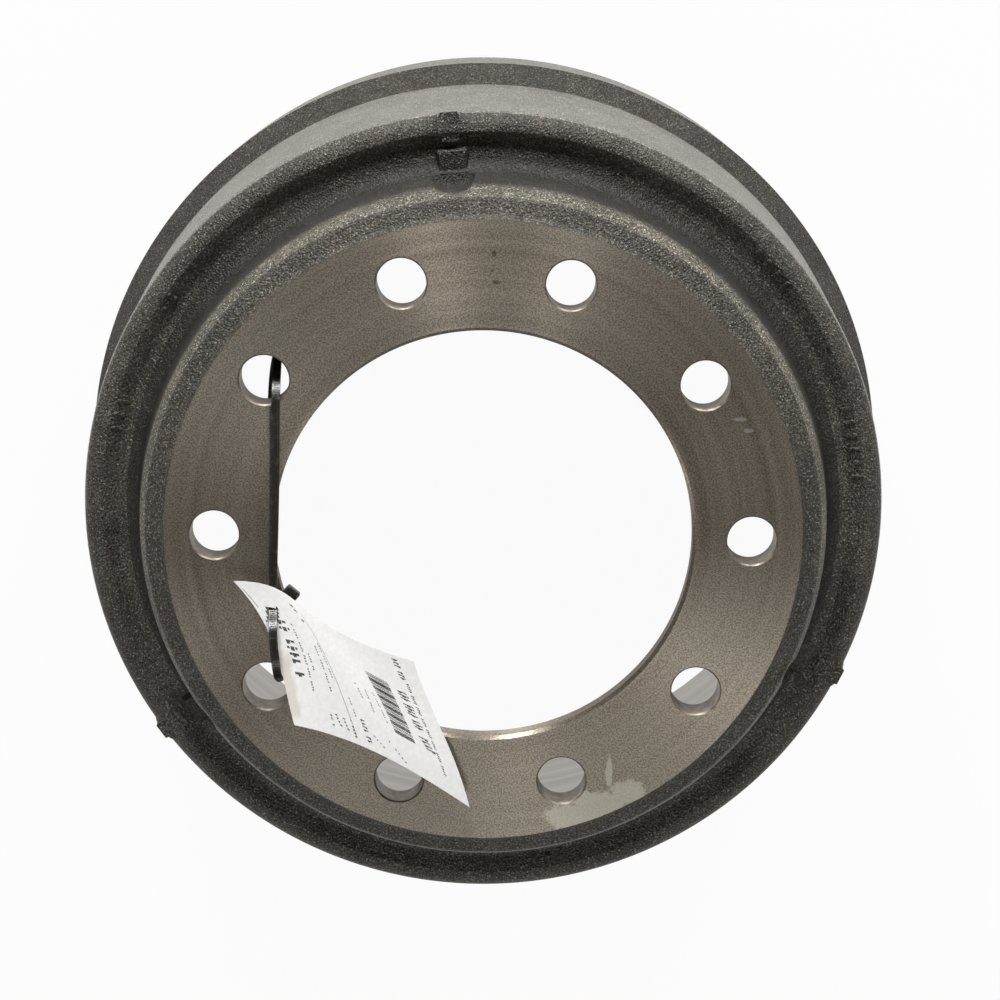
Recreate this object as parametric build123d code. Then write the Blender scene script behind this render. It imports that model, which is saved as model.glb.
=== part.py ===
"""Brake drum for a heavy axle, with a hang tag tied through one bolt hole.

The drum is one grey-iron casting, turned on its mounting face, pilot bore, braking surface and open rim.
It stands on its open rim: +Z is the drum's axis, z = 0 is the open rim and z = HEIGHT the mounting face.
Depths are measured down from the mounting face. Millimetres.
"""

import math
import os

from build123d import *

os.makedirs("parts", exist_ok=True)

# ---- whole drum
HEIGHT = 260.0
BRAKE_R = 209.55  # 16.5 in braking surface
BRAKE_TOP_DEPTH = 79.0  # leaves 178 mm of braking surface: a 7 in shoe track and its run-out
RIM_CHAMFER = 3.0
ROUND_FLATS = 3  # flats round each blended corner of the section

# ---- barrel and flange: walls outside the braking surface
BARREL_TOP_WALL = 10.35
BARREL_FOOT_WALL = 15.05
BARREL_TOP_R = BRAKE_R + BARREL_TOP_WALL
BARREL_FOOT_R = BRAKE_R + BARREL_FOOT_WALL
FLANGE_WALL = 25.85
FLANGE_TOP_DEPTH = 174.0
FLANGE_DEPTH = 192.0
RIM_WALL = 24.35

# ---- ridge round the valley
CREST_OUT = 0.35  # the crest's inner edge, outside the braking surface
CREST_R = BRAKE_R + CREST_OUT
CREST_DEPTH = 49.7
CREST_BLEND = 9.2
RIDGE_RUN = 8.1
VALLEY_R = CREST_R - RIDGE_RUN
VALLEY_WIDTH = 12.3
VALLEY_DEPTH = 54.5

# ---- raised centre, from the valley in to the turned flat
WALL_FOOT_R = VALLEY_R - VALLEY_WIDTH
WALL_FOOT_BLEND = 11.5
WALL_RUN = 7.0
WALL_TOP_R = WALL_FOOT_R - WALL_RUN
WALL_TOP_DEPTH = 10.6
SHOULDER_RUN = 3.9
SHOULDER_R = WALL_TOP_R - SHOULDER_RUN
SHOULDER_DEPTH = 5.4
SHOULDER_WIDTH = 6.6
STEP_R = SHOULDER_R - SHOULDER_WIDTH
STEP_RUN = 2.3
STEP_DEPTH = 3.0

# ---- mounting plate
PLATE = 16.5
FACE_R = STEP_R - STEP_RUN  # turned flat
PILOT_R = 111.4
PILOT_LAND = 9.8
PILOT_RELIEF = 2.1
PILOT_CHAMFER = 1.8
BOLT_CIRCLE_R = 142.875  # 11.25 in bolt circle
BOLT_COUNT = 10
BOLT_R = 13.1
BOLT_CHAMFER = 0.8

# ---- inside, above the braking surface
ROOF_OUT = 1.3
ROOF_R = FACE_R + ROOF_OUT  # inner wall of the raised centre
ROOF_CHAMFER = 8.0
SHELF_RUN = 4.0
SHELF_IN_R = ROOF_R + SHELF_RUN
SHELF_DEPTH = 68.0
GROOVE_DEPTH = 2.0
GROOVE_WIDTH = 5.0

# ---- three lifting stations, cast on the ridge and the valley
STATION_ANGLES = (95.5, -24.5, -144.5)  # degrees from +X
BOSS_DEPTH = 49.5
BOSS_IN_R = WALL_FOOT_R
BOSS_SETBACK = 2.0  # inside the ridge
BOSS_OUT_R = VALLEY_R - BOSS_SETBACK
BOSS_WIDTH = 13.8
BOSS_DRAFT = 27.0
BOSS_FOOT = 8.0  # length of the drafted sides, down into the valley
LUG_DEPTH = 50.5
LUG_SETBACK = 1.1
LUG_IN_R = CREST_R + LUG_SETBACK
LUG_PROUD = 1.5
LUG_OUT_R = BARREL_TOP_R + LUG_PROUD
LUG_WIDTH = 19.0
LUG_ROUND = 4.0  # its outer corners
LUG_DRAFT = 6.0
LUG_FOOT = 26.0
SCALLOP_WIDTH = 21.0
SCALLOP_SINK = 4.7
SCALLOP_BITE = 1.5
SCALLOP_FOOT_R = WALL_TOP_R - SCALLOP_BITE  # the cut's deepest point, from the axis
SCALLOP_DEPTH = 47.0

# ---- cable tie: one nylon moulding, its strap locked in its own head
STRAP_WIDTH = 4.5
STRAP_THICK = 1.2
STRAP_TURN_STEP = 20.0  # degrees of bend between two cross-sections
STRAP_LEAN = 58.0  # turn of its flat side at the head, which lays it flat on the face
HEAD_WIDTH = 8.2
HEAD_LENGTH = 8.0
HEAD_THICK = 5.2
HEAD_BLEND = 1.0
HEAD_TURN = -40.0
ANCHORS = {"bore": (PILOT_R, -162.9), "hole": (BOLT_CIRCLE_R, 144.0)}  # radius, degrees from +X
# Centre line of the strap from the head: its anchor, the X and Y offset from it, and the height over the
# mounting face. It drops through the pilot bore, comes back up through a bolt hole, lies down the face, passes
# the tag's slot and turns back behind it.
STRAP_ROUTE = (
    ("bore", 4.0, 1.2, 3.2),
    ("bore", 4.6, -8.4, -20.0),
    ("bore", -2.0, -10.2, -27.0),
    ("bore", -11.5, 8.8, -27.5),
    ("bore", -13.0, 42.8, -28.0),
    ("hole", -1.4, -48.0, -29.0),
    ("hole", 1.0, -22.0, -33.0),
    ("hole", 1.8, -2.0, -38.5),
    ("hole", 5.2, 12.0, -33.0),
    ("hole", 5.6, 8.5, -19.5),
    ("hole", 6.2, -8.2, 2.7),
    ("hole", 5.8, -31.9, 1.1),
    ("bore", -3.8, 52.4, 1.0),
    ("bore", -5.0, 16.9, 1.2),
    ("bore", -4.9, 3.1, 5.5),
    ("bore", -4.2, -6.0, 15.8),
    ("bore", -3.6, -11.0, 22.8),
    ("bore", -3.1, -18.8, 26.6),
    ("bore", -1.8, -29.4, 28.8),
    ("bore", -0.8, -40.2, 24.4),
    ("bore", 3.2, -40.8, 18.0),
    ("bore", 5.1, -33.6, 13.4),
    ("bore", 4.8, -20.2, 9.0),
    ("bore", 4.4, -10.2, 5.8),
    ("bore", 4.0, -0.6, 3.4),
)

# ---- hang tag: a curled card, each edge one cubic curve. X and Y are offsets from the bore's anchor and the
# third number is the height over the mounting face.
CARD_THICK = 0.4
SLOT_WIDTH = 6.4
SLOT_LENGTH = 7.0
SLOT_PLACE = (-4.4, -6.2, 15.6)
TAG_CORNERS = {
    "A": (-25.1, 10.8, 12.0),
    "B": (69.7, -37.0, -3.0),
    "C": (100.8, -115.6, 9.0),
    "D": (8.1, -62.0, 32.0),
}
TAG_HANDLES = {
    "AB": ((15.6, 11.6, 13.0), (0.3, -13.5, 9.0)),
    "AD": ((0.4, -14.9, 17.0), (0.3, -37.3, 25.0)),
    "DC": ((37.2, -70.6, 24.0), (62.0, -85.7, 17.0)),
    "BC": ((79.7, -67.9, 1.0), (91.7, -81.3, 4.5)),
}


def corner(radius, depth, blend=0.0):
    """A corner of the drum's section: radius, depth under the mounting face and blend radius."""
    return (radius, HEIGHT - depth, blend)


def section_corners():
    """The drum's section, from the pilot bore out over the outside and back up the inside."""
    groove_r = BRAKE_R + GROOVE_DEPTH
    relief_r = PILOT_R + PILOT_RELIEF
    return [
        corner(PILOT_R, PILOT_LAND),
        corner(PILOT_R, PILOT_CHAMFER),
        corner(PILOT_R + PILOT_CHAMFER, 0),
        corner(FACE_R, 0),
        corner(STEP_R, STEP_DEPTH),
        corner(SHOULDER_R, SHOULDER_DEPTH),
        corner(WALL_TOP_R, WALL_TOP_DEPTH),
        corner(WALL_FOOT_R, VALLEY_DEPTH, WALL_FOOT_BLEND),
        corner(VALLEY_R, VALLEY_DEPTH),
        corner(CREST_R, CREST_DEPTH),
        corner(BARREL_TOP_R, CREST_DEPTH, CREST_BLEND),
        corner(BARREL_FOOT_R, FLANGE_TOP_DEPTH),
        corner(BRAKE_R + FLANGE_WALL, FLANGE_DEPTH),
        corner(BRAKE_R + RIM_WALL, HEIGHT),
        corner(BRAKE_R + RIM_CHAMFER, HEIGHT),
        corner(BRAKE_R, HEIGHT - RIM_CHAMFER),
        corner(BRAKE_R, BRAKE_TOP_DEPTH),
        corner(groove_r, BRAKE_TOP_DEPTH),
        corner(groove_r, BRAKE_TOP_DEPTH - GROOVE_WIDTH),
        corner(SHELF_IN_R, SHELF_DEPTH),
        corner(ROOF_R, PLATE + ROOF_CHAMFER),
        corner(ROOF_R - ROOF_CHAMFER, PLATE),
        corner(relief_r, PLATE),
        corner(relief_r, PILOT_LAND),
    ]


def blended(before, here, after, blend):
    """Points round a corner: the corner itself, or the ends of the flats along its blend."""
    if not blend:
        return [here]
    bend = FilletPolyline(before, here, after, radius=blend).edges().filter_by(GeomType.CIRCLE)[0]
    return [bend @ (step / ROUND_FLATS) for step in range(ROUND_FLATS + 1)]


def turned_body():
    """The casting as one turned shape."""
    corners = section_corners()
    places = [Vector(radius, z) for radius, z, blend in corners]
    outline = []
    for before, here, after, (radius, z, blend) in zip(places[-1:] + places, places, places[1:] + places, corners):
        outline += blended(before, here, after, blend)
    section = Plane.XZ * make_face(Polyline(*outline, close=True))
    return revolve(section, Axis.Z)


def bolt_hole():
    """One bolt hole with its countersunk edge, as a cutter on the bolt circle."""
    through = Cylinder(BOLT_R, 2 * PLATE)
    edge = Pos(0, 0, -BOLT_CHAMFER / 2) * Cone(BOLT_R, BOLT_R + BOLT_CHAMFER, BOLT_CHAMFER)
    return Pos(BOLT_CIRCLE_R, 0, HEIGHT) * (through + edge)


def bolt_holes():
    """The cutters for every bolt hole, half a pitch either side of +Y."""
    pitch = 360 / BOLT_COUNT
    cutter = bolt_hole()
    return [Rot(0, 0, pitch * number) * cutter for number in range(BOLT_COUNT)]


def station_boss():
    """A low pad in the valley with steep drafted sides, on the +X axis."""
    length = BOSS_OUT_R - BOSS_IN_R
    top = Pos((BOSS_IN_R + BOSS_OUT_R) / 2, 0, HEIGHT - BOSS_DEPTH) * Rectangle(length, BOSS_WIDTH)
    return extrude(top, amount=-BOSS_FOOT, taper=-BOSS_DRAFT)


def station_lug():
    """A lug on the ridge with round outer corners that stands a little proud of the barrel."""
    shape = Pos((LUG_IN_R + LUG_OUT_R) / 2, 0) * Rectangle(LUG_OUT_R - LUG_IN_R, LUG_WIDTH)
    shape = fillet(shape.vertices().group_by(Axis.X)[-1], LUG_ROUND)
    return extrude(Pos(0, 0, HEIGHT - LUG_DEPTH) * shape, amount=-LUG_FOOT, taper=LUG_DRAFT)


def station_scallop():
    """The hollow that clears a chain hook, cut down the raised centre's wall."""
    half = SCALLOP_WIDTH / 2
    hook_r = (half**2 + SCALLOP_SINK**2) / (2 * SCALLOP_SINK)
    top = HEIGHT + 1
    bottom = HEIGHT - SCALLOP_DEPTH
    return Pos(SCALLOP_FOOT_R + hook_r, 0, (top + bottom) / 2) * Cylinder(hook_r, top - bottom)


def brake_drum():
    """The whole casting: turned body, bolt holes and three lifting stations."""
    drum = turned_body()
    for angle in STATION_ANGLES:
        turn = Rot(0, 0, angle)
        drum = drum - turn * station_scallop()
        drum = drum + turn * station_boss() + turn * station_lug()
    return drum - bolt_holes()


def held_at(anchor, x, y, height):
    """A point given by its offset from what holds the tie there and its height over the mounting face."""
    radius, angle = ANCHORS[anchor]
    return Vector(radius, 0, HEIGHT).rotate(Axis.Z, angle) + Vector(x, y, height)


def bend_radii(points):
    """As large a bend at each corner of the route as its two runs allow."""
    radii = []
    for before, here, after in zip(points, points[1:], points[2:]):
        turn = math.radians((here - before).get_angle(after - here))
        shorter = min((here - before).length, (after - here).length)
        radii.append(0.45 * shorter / math.tan(turn / 2))
    return radii


def strap_stations(route):
    """Points and directions along the route: the ends of each run, and steps round each bend."""
    for edge in route.edges():
        steps = max(1, math.ceil((edge % 0).get_angle(edge % 1) / STRAP_TURN_STEP))
        for step in range(steps):
            yield edge @ (step / steps), edge % (step / steps)
    yield edge @ 1, edge % 1


def strap():
    """The strap, lofted through sections that stay square to its route and don't twist."""
    points = [held_at(*point) for point in STRAP_ROUTE]
    route = FilletPolyline(*points, radius=bend_radii(points))
    print("strap length", round(route.length))
    across = Vector(1, 0, 0).rotate(Axis.Z, STRAP_LEAN)
    sections = []
    for place, along in strap_stations(route):
        across = (across - along * across.dot(along)).normalized()
        sections.append(Plane(origin=place, x_dir=across, z_dir=along) * Rectangle(STRAP_WIDTH, STRAP_THICK))
    return loft(sections, ruled=True)


def tie_head():
    """The tie's moulded head, where both ends of the strap meet."""
    block = Box(HEAD_WIDTH, HEAD_LENGTH, HEAD_THICK)
    block = fillet(block.edges(), HEAD_BLEND)
    return Pos(*held_at(*STRAP_ROUTE[0])) * Rot(0, 0, HEAD_TURN) * block


def cable_tie():
    return strap() + tie_head()


def edge_points(name):
    """The four control points of one edge of the tag."""
    first, last = TAG_CORNERS[name[0]], TAG_CORNERS[name[1]]
    return [held_at("bore", *point) for point in (first, *TAG_HANDLES[name], last)]


def tag_net():
    """The tag's 4 by 4 control points, the inner four blended from the edges."""
    top, bottom = edge_points("AB"), edge_points("DC")
    left, right = edge_points("AD"), edge_points("BC")
    net = [[None] * 4 for _ in range(4)]
    for number in range(4):
        net[number][0], net[number][3] = top[number], bottom[number]
        net[0][number], net[3][number] = left[number], right[number]
    for i in (1, 2):
        for j in (1, 2):
            across = net[0][j] * (1 - i / 3) + net[3][j] * (i / 3)
            down = net[i][0] * (1 - j / 3) + net[i][3] * (j / 3)
            flat = (net[0][0] * (1 - i / 3) + net[3][0] * (i / 3)) * (1 - j / 3) + (
                net[0][3] * (1 - i / 3) + net[3][3] * (i / 3)
            ) * (j / 3)
            net[i][j] = across + down - flat
    return net


def hang_tag():
    """The curled card, with the slot that the strap passes through."""
    card = extrude(Face.make_bezier_surface(tag_net()), amount=CARD_THICK, dir=(0, 0, 1))
    slot = Pos(*held_at("bore", *SLOT_PLACE)) * Box(SLOT_WIDTH, SLOT_LENGTH, SLOT_LENGTH)
    return card - slot


for name, piece in {"brake_drum": brake_drum(), "cable_tie": cable_tie(), "hang_tag": hang_tag()}.items():
    print(name, len(piece.solids()), "solids, volume", round(piece.volume))
    export_step(piece, f"parts/{name}.step")
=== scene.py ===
"""Brake drum with a hang tag: pieces, finishes, camera and light.

Everything is in metres in the CAD frame: +Z is the drum's axis, z = 0 the open rim and z = HEIGHT the
mounting face. Depths and heights are measured from the mounting face.
"""

import math

import bmesh
import bpy
from mathutils import Matrix, Vector


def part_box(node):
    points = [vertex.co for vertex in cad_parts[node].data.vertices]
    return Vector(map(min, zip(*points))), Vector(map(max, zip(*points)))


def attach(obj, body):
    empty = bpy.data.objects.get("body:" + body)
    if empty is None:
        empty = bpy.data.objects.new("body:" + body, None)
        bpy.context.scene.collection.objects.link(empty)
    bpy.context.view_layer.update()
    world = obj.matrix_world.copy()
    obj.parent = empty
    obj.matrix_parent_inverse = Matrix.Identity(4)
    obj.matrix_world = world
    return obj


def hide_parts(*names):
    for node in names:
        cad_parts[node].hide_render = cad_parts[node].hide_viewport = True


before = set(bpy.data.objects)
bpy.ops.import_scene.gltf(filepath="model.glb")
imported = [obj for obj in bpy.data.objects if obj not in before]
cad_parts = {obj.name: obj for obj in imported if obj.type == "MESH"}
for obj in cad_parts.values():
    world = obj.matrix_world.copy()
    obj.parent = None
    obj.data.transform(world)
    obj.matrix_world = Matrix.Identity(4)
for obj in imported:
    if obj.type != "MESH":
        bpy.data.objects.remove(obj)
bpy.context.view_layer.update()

MM = 0.001
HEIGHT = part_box("brake_drum")[1].z

# ---- the drum's section
BRAKE_R = 209.55 * MM
BRAKE_TOP_DEPTH = 79 * MM
PLATE = 16.5 * MM
PILOT_R = 111.4 * MM
PILOT_LAND = 9.8 * MM
PILOT_RELIEF = 2.1 * MM
PILOT_CHAMFER = 1.8 * MM
FACE_R = 169.7 * MM  # turned flat
BOLT_CIRCLE_R = 142.875 * MM
BOLT_COUNT = 10
BOLT_R = 13.1 * MM
BOLT_CHAMFER = 0.8 * MM
HOLE_STEPS = 72
RIM_R = 233.9 * MM
RIM_BLEND = 1.5 * MM
RIM_CHAMFER = 3 * MM
GROOVE_SINK = 2 * MM  # run-out groove above the braking surface
GROOVE_WIDTH = 5 * MM
GROOVE_BLEND = 1.5 * MM
SHELF_R = 175 * MM
SHELF_DEPTH = 68 * MM
SHELF_BLEND = 12 * MM
ROOF_R = 171 * MM  # inner wall of the raised centre
ROOF_BLEND = 10 * MM
ARC_STEP = math.radians(8)  # of a blend, between two corners of the mesh
TURNS = 540  # steps of the mesh round the axis
# Corners from the turned flat out to the flange, in millimetres: radius, depth, blend radius
OUTSIDE = {
    "step": (172, 3.0, 1.2),
    "shoulder": (180.2, 6.0, 3.5),
    "wall top": (184.2, 14.5, 14.0),
    "wall foot": (189.5, 54.5, 11.5),
    "valley": (201.8, 54.5, 4.0),
    "crest": (209.9, 49.7, 1.5),
    "barrel top": (219.9, 49.7, 9.2),
    "barrel foot": (224.6, 174, 6.0),
    "flange": (235.4, 192, 3.0),
}

# ---- lifting stations: pad in the valley, lug on the ridge, scallop down the wall
STATION_ANGLES = (95.5, -24.5, -144.5)  # degrees from +X
# Radii, half width, corner, depths of top and foot, spread to the foot, and the top's bevel with its segments
PAD = ((188.4 * MM, 199.8 * MM), 6.9 * MM, 1.2 * MM, (49.5 * MM, 57.5 * MM), 4.1 * MM, 1.1 * MM, 3)
LUG = ((205 * MM, 220.7 * MM), 11 * MM, 6.5 * MM, (50.4 * MM, 76.5 * MM), -2.0 * MM, 5.2 * MM, 5)
SCALLOP_WIDTH = 21 * MM
SCALLOP_SINK = 4.7 * MM
SCALLOP_FOOT_R = 181 * MM
SCALLOP_DEPTH = 47 * MM
SCALLOP_OVER = 2 * MM  # its cutter stands over the face
SCALLOP_STEPS = 96
# Two slopes end the scallop's floor: how far in from its wall and how far up each starts
SCALLOP_RUN_OUT = ((5 * MM, 0.0), (1.5 * MM, 1.2 * MM), (0.0, 5 * MM))

# ---- foundry marks
# Angle from +X, radius, and the plain marks in a row: a bar, a pair of dots or one dot
FOUNDRY_MARKS = (
    (42, 206.3, "|:||"),
    (12, 206.3, "||:|.|"),
    (165, 206.0, "|:|"),
    (146, 206.3, ".:"),
    (-79, 204.5, "|.|"),
)
# Blocks of each mark, in millimetres: start and end up the slope, half width
MARK_BLOCKS = {
    "|": ((-3.2, 3.2, 0.95),),
    ":": ((-3.2, -0.9, 1.2), (0.9, 3.2, 1.2)),
    ".": ((-1.3, 1.3, 1.3),),
}
MARK_PITCH = 2.15  # degrees
MARK_CORNER = 0.75  # share of its half width
MARK_TOP = 0.8 * MM
MARK_FOOT = -0.9 * MM  # sunk in the iron
MARK_SPREAD = 0.7 * MM
MARK_BEVEL = 0.3 * MM

# ---- cable tie
STRAP_WIDTH = 4.5 * MM
STRAP_THICK = 1.2 * MM
STRAP_EDGE = 0.18 * MM  # bevels of its section
ROUTE_STEPS = 10  # of its spline, between two points of the route
STRAP_STEP = 1.0 * MM  # between two sections of the mesh
RAIL_WIDTH = 0.9 * MM
CHANNEL_DEPTH = 0.4 * MM
TOOTH_PITCH = 1.35 * MM
TOOTH_LENGTH = 0.75 * MM
TOOTH_LEAN = 0.6
TOOTH_SINK = 0.05 * MM
ANCHORS = {"bore": (111.4, -162.9), "hole": (142.875, 144.0)}  # radius in millimetres, degrees from +X
# The strap's centre line from its head, in millimetres: anchor, X and Y from it, height over the face
STRAP_ROUTE = (
    ("bore", 4.0, 1.2, 3.2),
    ("bore", 4.6, -8.4, -20.0),
    ("bore", -2.0, -10.2, -27.0),
    ("bore", -11.5, 8.8, -27.5),
    ("bore", -13.0, 42.8, -28.0),
    ("hole", -1.4, -48.0, -29.0),
    ("hole", 1.0, -22.0, -33.0),
    ("hole", 1.8, -2.0, -38.5),
    ("hole", 5.2, 12.0, -33.0),
    ("hole", 5.6, 8.5, -19.5),
    ("hole", 6.2, -8.2, 2.7),
    ("hole", 5.8, -31.9, 1.1),
    ("bore", -3.8, 52.4, 1.0),
    ("bore", -5.0, 16.9, 1.2),
    ("bore", -4.9, 3.1, 5.5),
    ("bore", -4.2, -6.0, 15.8),
    ("bore", -3.6, -11.0, 22.8),
    ("bore", -3.1, -18.8, 26.6),
    ("bore", -1.8, -29.4, 28.8),
    ("bore", -0.8, -40.2, 24.4),
    ("bore", 3.2, -40.8, 18.0),
    ("bore", 5.1, -33.6, 13.4),
    ("bore", 4.8, -20.2, 9.0),
    ("bore", 4.4, -10.2, 5.8),
    ("bore", 4.0, -0.6, 3.4),
)
HEAD_SIZE = (8.2 * MM, 8.0 * MM, 5.2 * MM)
HEAD_BLEND = 1.0 * MM
HEAD_TURN = math.radians(-40)
STRAP_LEAN = math.radians(58)  # turn of its flat side at the head

# ---- hang tag: a curled card, each edge one cubic curve, placed from the bore's anchor as the strap is
CARD_THICK = 0.4 * MM
CARD_CELLS = 72
SLOT_SIZE = (6.4 * MM, 7.0 * MM)
SLOT_PLACE = (-4.4, -6.2, 15.6)
TAG_CORNERS = {
    "A": (-25.1, 10.8, 12.0),
    "B": (69.7, -37.0, -3.0),
    "C": (100.8, -115.6, 9.0),
    "D": (8.1, -62.0, 32.0),
}
TAG_HANDLES = {
    "AB": ((15.6, 11.6, 13.0), (0.3, -13.5, 9.0)),
    "AD": ((0.4, -14.9, 17.0), (0.3, -37.3, 25.0)),
    "DC": ((37.2, -70.6, 24.0), (62.0, -85.7, 17.0)),
    "BC": ((79.7, -67.9, 1.0), (91.7, -81.3, 4.5)),
}


def held_at(anchor, x, y, height):
    """A point from its offset from an anchor and its height over the face, in millimetres."""
    radius, angle = ANCHORS[anchor]
    turn = math.radians(angle)
    place = Vector((radius * math.cos(turn) + x, radius * math.sin(turn) + y, height))
    return place * MM + Vector((0, 0, HEIGHT))


def new_object(name, data, *materials):
    made = bpy.data.objects.new(name, data)
    bpy.context.scene.collection.objects.link(made)
    for material in materials:
        data.materials.append(material)
    return made


def final_mesh(thing):
    """The mesh of an object with its modifiers applied."""
    bpy.context.view_layer.update()
    return bpy.data.meshes.new_from_object(thing.evaluated_get(bpy.context.evaluated_depsgraph_get()))


def mesh_from(name, build):
    """A mesh made by a function that fills a bmesh."""
    mesh = bpy.data.meshes.new(name)
    form = bmesh.new()
    build(form)
    form.to_mesh(mesh)
    form.free()
    return mesh


def bevel(form, edges, offset, segments):
    bmesh.ops.bevel(form, geom=edges, offset=offset, segments=segments, affect="EDGES", profile=0.5)


def smooth(mesh, angle):
    """Smooth shading, creased where two faces meet at more than the angle, in degrees."""
    mesh.shade_smooth()
    mesh.set_sharp_from_angle(angle=math.radians(angle))


# ---- shader tools
def feed(tree, socket, value):
    """Links another node's output to a socket, or sets the socket's value."""
    if isinstance(value, bpy.types.NodeSocket):
        tree.links.new(value, socket)
    else:
        socket.default_value = value


def node(tree, kind, sockets=None, **settings):
    """A node with its settings, its inputs' values and the links into them."""
    made = tree.nodes.new(kind)
    for name, value in settings.items():
        setattr(made, name, value)
    for name, value in (sockets or {}).items():
        feed(tree, made.inputs[name], value)
    return made


def maths(tree, operation, first, second=0.0, third=0.0):
    sockets = {0: first, 1: second, 2: third}
    return node(tree, "ShaderNodeMath", sockets, operation=operation).outputs[0]


def fade(tree, value, low, high, out_low=0.0, out_high=1.0):
    """Maps low..high smoothly to out_low..out_high."""
    sockets = {"Value": value, "From Min": low, "From Max": high, "To Min": out_low, "To Max": out_high}
    return node(tree, "ShaderNodeMapRange", sockets, interpolation_type="SMOOTHSTEP").outputs[0]


def tint(tree, amount, first, second, blend="MIX"):
    """Mixes two colours."""
    mixer = node(tree, "ShaderNodeMix", data_type="RGBA", blend_type=blend)
    for number, value in ((0, amount), (6, first), (7, second)):
        feed(tree, mixer.inputs[number], value)
    return mixer.outputs[2]


def parts_of(tree, place):
    """The X, Y and Z of a place."""
    return node(tree, "ShaderNodeSeparateXYZ", {"Vector": place}).outputs


def bumped(tree, height, strength, distance):
    sockets = {"Height": height, "Strength": strength, "Distance": distance}
    return node(tree, "ShaderNodeBump", sockets).outputs[0]


def grain(tree, place, size, detail=2.0, rough=0.5):
    """Noise whose features are about the size given, in metres."""
    sockets = {"Vector": place, "Scale": 1.0 / size, "Detail": detail, "Roughness": rough}
    return node(tree, "ShaderNodeTexNoise", sockets).outputs[0]


def shader_group(name, inputs, outputs):
    """A node group from its inputs' names and defaults and its outputs' names: tree, given, result."""
    tree = bpy.data.node_groups.new(name, "ShaderNodeTree")
    for label, default in inputs.items():
        kind = "NodeSocketVector" if isinstance(default, tuple) else "NodeSocketFloat"
        tree.interface.new_socket(label, in_out="INPUT", socket_type=kind).default_value = default
    for label in outputs:
        tree.interface.new_socket(label, in_out="OUTPUT", socket_type="NodeSocketFloat")
    return tree, tree.nodes.new("NodeGroupInput").outputs, tree.nodes.new("NodeGroupOutput").inputs


def use_group(tree, group, **sockets):
    return node(tree, "ShaderNodeGroup", sockets, node_tree=group).outputs


def cast_skin_group():
    """Sand-cast skin: packed grains, larger lumps, and blotches of colour."""
    inputs = {"Place": (0, 0, 0), "Grain": 1 * MM}
    tree, given, result = shader_group("cast skin", inputs, ("Height", "Glint", "Blotch"))
    place, size = given["Place"], given["Grain"]
    scale = maths(tree, "DIVIDE", 1.0, size)
    packed = {"Vector": place, "Scale": scale, "Detail": 2.0, "Roughness": 0.6}
    grains = node(tree, "ShaderNodeTexNoise", packed)
    wide = maths(tree, "MULTIPLY", scale, 0.8)
    sand = node(tree, "ShaderNodeTexVoronoi", {"Vector": place, "Scale": wide})
    lumps = grain(tree, place, 9 * MM, 3.0)
    pebbles = maths(tree, "SUBTRACT", maths(tree, "MULTIPLY", grains.outputs[0], 1.3), sand.outputs[0])
    height = maths(tree, "MULTIPLY_ADD", lumps, 1.2, pebbles)
    feed(tree, result["Height"], height)
    feed(tree, result["Glint"], fade(tree, grains.outputs[0], 0.52, 0.72))
    feed(tree, result["Blotch"], fade(tree, grain(tree, place, 22 * MM, 4.0, 0.6), 0.38, 0.66))
    return tree


def tool_rings_group():
    """Fine lathe rings round the axis, on a face or up a wall."""
    inputs = {"Place": (0, 0, 0), "Pitch": 0.6 * MM}
    tree, given, result = shader_group("tool rings", inputs, ("Height", "Band"))
    place, pitch = given["Place"], given["Pitch"]
    parts = parts_of(tree, place)
    flat = node(tree, "ShaderNodeCombineXYZ", {"X": parts[0], "Y": parts[1]}).outputs[0]
    radius = node(tree, "ShaderNodeVectorMath", {0: flat}, operation="LENGTH").outputs["Value"]
    travel = maths(tree, "ADD", radius, parts[2])
    drift = maths(tree, "MULTIPLY", grain(tree, place, 30 * MM, 2.0), 0.5 * MM)
    step = maths(tree, "DIVIDE", maths(tree, "ADD", travel, drift), pitch)
    for label, scale, detail in (("Height", 1.0, 2.0), ("Band", 0.11, 3.0)):
        sockets = {"W": step, "Scale": scale, "Detail": detail}
        noise = node(tree, "ShaderNodeTexNoise", sockets, noise_dimensions="1D")
        feed(tree, result[label], noise.outputs[0])
    return tree


def spot_group():
    """A ragged round patch: 1 inside, 0 outside."""
    inputs = {"Place": (0, 0, 0), "Centre": (0, 0, 0), "Radius": 5 * MM, "Stretch": (1, 1, 0)}
    tree, given, result = shader_group("ragged spot", inputs, ("Mask",))
    place, centre, radius, stretch = (given[label] for label in inputs)
    away = node(tree, "ShaderNodeVectorMath", {0: place, 1: centre}, operation="SUBTRACT").outputs[0]
    away = node(tree, "ShaderNodeVectorMath", {0: away, 1: stretch}, operation="MULTIPLY").outputs[0]
    distance = node(tree, "ShaderNodeVectorMath", {0: away}, operation="LENGTH").outputs["Value"]
    share = maths(tree, "DIVIDE", distance, radius)
    ragged = maths(tree, "MULTIPLY_ADD", grain(tree, place, 3 * MM, 4.0, 0.65), 1.1, share)
    feed(tree, result["Mask"], fade(tree, ragged, 1.35, 1.65, 1.0, 0.0))
    return tree


CAST_SKIN = cast_skin_group()
TOOL_RINGS = tool_rings_group()
RAGGED_SPOT = spot_group()


def blank_tree(block):
    """The emptied node tree of a material or a world."""
    block.use_nodes = True
    block.node_tree.nodes.clear()
    return block.node_tree


def new_material(name, colour):
    """A material, its shader and the place on the piece that patterns read."""
    material = bpy.data.materials.new(name)
    material.diffuse_color = colour
    tree = blank_tree(material)
    surface = node(tree, "ShaderNodeBsdfPrincipled")
    node(tree, "ShaderNodeOutputMaterial", {"Surface": surface.outputs[0]})
    place = node(tree, "ShaderNodeTexCoord").outputs["Object"]
    return material, tree, surface, place


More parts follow.
